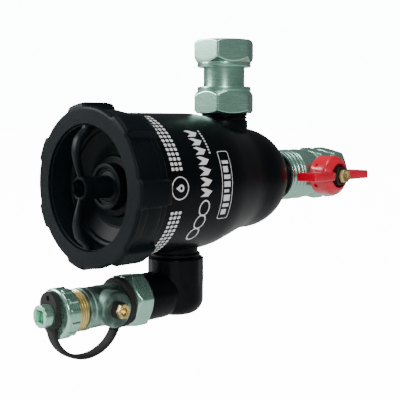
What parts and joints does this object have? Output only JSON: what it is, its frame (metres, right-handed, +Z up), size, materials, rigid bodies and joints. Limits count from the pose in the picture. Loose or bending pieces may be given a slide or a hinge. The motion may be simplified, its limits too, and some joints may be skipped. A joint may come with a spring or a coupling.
{
  "type": "magnetic system filter",
  "caption": "In-line magnetic heating filter with a lobed locking ring, pull-out magnet handle, swivel drain arm with capped drain valve, union inlet and red-levered outlet ball valve.",
  "frame": {"origin": "centre of the mouth of the outlet pipe socket, on the main axis", "axes": "+Y out of the outlet socket along the main axis, +Z up along the inlet pipe, +X towards the outlet valve's lever"},
  "size_m": [0.1021, 0.2826, 0.2026],
  "materials": {
    "body_plastic": "satin moulded glass-filled plastic",
    "ring_plastic": "satin moulded plastic",
    "rubber": "matt rubber",
    "stainless": "bright steel",
    "white_plastic": "natural white plastic",
    "magnet_steel": "nickel plated magnets",
    "fibre": "pressed fibre",
    "nickel": "satin nickel plate",
    "drain_metal": "satin nickel plate",
    "brass": "machined brass",
    "lever_red": "gloss red coating",
    "black_nut": "black coated steel"
  },
  "bodies": {
    "filter": {"filter_body": "body_plastic", "body_tail": "body_plastic", "head": "body_plastic", "head_o_ring": "rubber", "magnet_sleeve": "stainless", "vortex_insert": "white_plastic", "inlet_washer": "fibre", "inlet_tail": "nickel", "pipe_washer": "fibre", "outlet_washer": "fibre", "outlet_tail": "nickel", "valve_body": "nickel", "valve_seats": "white_plastic", "stem_gland": "rubber", "olive": "brass"},
    "ring_carriage": {"slip_washer": "white_plastic"},
    "locking_ring": {"locking_ring": "ring_plastic"},
    "magnet": {"pull_handle": "ring_plastic", "magnet_stack": "magnet_steel", "handle_circlip": "stainless"},
    "inlet_nut": {"inlet_nut": "nickel"},
    "pipe_nut": {"pipe_nut": "nickel"},
    "outlet_nut": {"outlet_nut": "nickel"},
    "compression_nut": {"compression_nut": "nickel"},
    "lever": {"lever": "lever_red", "lever_plate": "stainless", "lever_nut": "black_nut", "valve_stem": "brass", "valve_ball": "stainless"},
    "drain_elbow": {"elbow": "body_plastic", "elbow_seal": "rubber", "drain_washer": "fibre", "drain_tail": "drain_metal", "drain_body": "drain_metal", "drain_seats": "white_plastic", "drain_gland": "rubber", "drain_outlet": "brass", "cap_strap": "rubber"},
    "drain_nut": {"drain_nut": "drain_metal"},
    "drain_spindle": {"drain_spindle": "brass", "drain_ball": "stainless"},
    "drain_cap": {"drain_cap": "drain_metal", "cap_gasket": "rubber"}
  },
  "joints": [
    {"name": "ring_travel", "type": "slide", "parent": "filter", "child": "ring_carriage", "axis": [0, -1, 0], "range_m": [0, 0.0092]},
    {"name": "ring_turn", "type": "hinge", "parent": "ring_carriage", "child": "locking_ring", "pos_m": [0, -0.235, 0], "axis": [0, -1, 0], "range_deg": [0, 540]},
    {"name": "magnet_pull", "type": "slide", "parent": "filter", "child": "magnet", "axis": [0, -1, 0], "range_m": [0, 0.11]},
    {"name": "inlet_nut_spin", "type": "hinge", "parent": "filter", "child": "inlet_nut", "pos_m": [0, -0.125, 0.055], "axis": [0, 0, 1], "continuous": true},
    {"name": "pipe_nut_spin", "type": "hinge", "parent": "filter", "child": "pipe_nut", "pos_m": [0, -0.125, 0.088], "axis": [0, 0, 1], "continuous": true},
    {"name": "outlet_nut_spin", "type": "hinge", "parent": "filter", "child": "outlet_nut", "pos_m": [0, -0.062, 0], "axis": [0, 1, 0], "continuous": true},
    {"name": "compression_nut_spin", "type": "hinge", "parent": "filter", "child": "compression_nut", "pos_m": [0, -0.007, 0], "axis": [0, 1, 0], "continuous": true},
    {"name": "lever_turn", "type": "hinge", "parent": "filter", "child": "lever", "pos_m": [0.03, -0.041, 0], "axis": [-1, 0, 0], "range_deg": [0, 90]},
    {"name": "elbow_swivel", "type": "hinge", "parent": "filter", "child": "drain_elbow", "pos_m": [0, -0.1722, -0.06], "axis": [0, 0, 1], "continuous": true},
    {"name": "drain_nut_spin", "type": "hinge", "parent": "drain_elbow", "child": "drain_nut", "pos_m": [0, -0.2132, -0.0742], "axis": [0, -1, 0], "continuous": true},
    {"name": "drain_turn", "type": "hinge", "parent": "drain_elbow", "child": "drain_spindle", "pos_m": [0.02, -0.2378, -0.0742], "axis": [-1, 0, 0], "range_deg": [0, 90]},
    {"name": "cap_spin", "type": "hinge", "parent": "drain_elbow", "child": "drain_cap", "pos_m": [0, -0.2672, -0.0742], "axis": [0, -1, 0], "continuous": true}
  ],
  "couplings": [
    {"joint": "ring_travel", "follows": "ring_turn", "m_per_rad": 0.00095493}
  ]
}
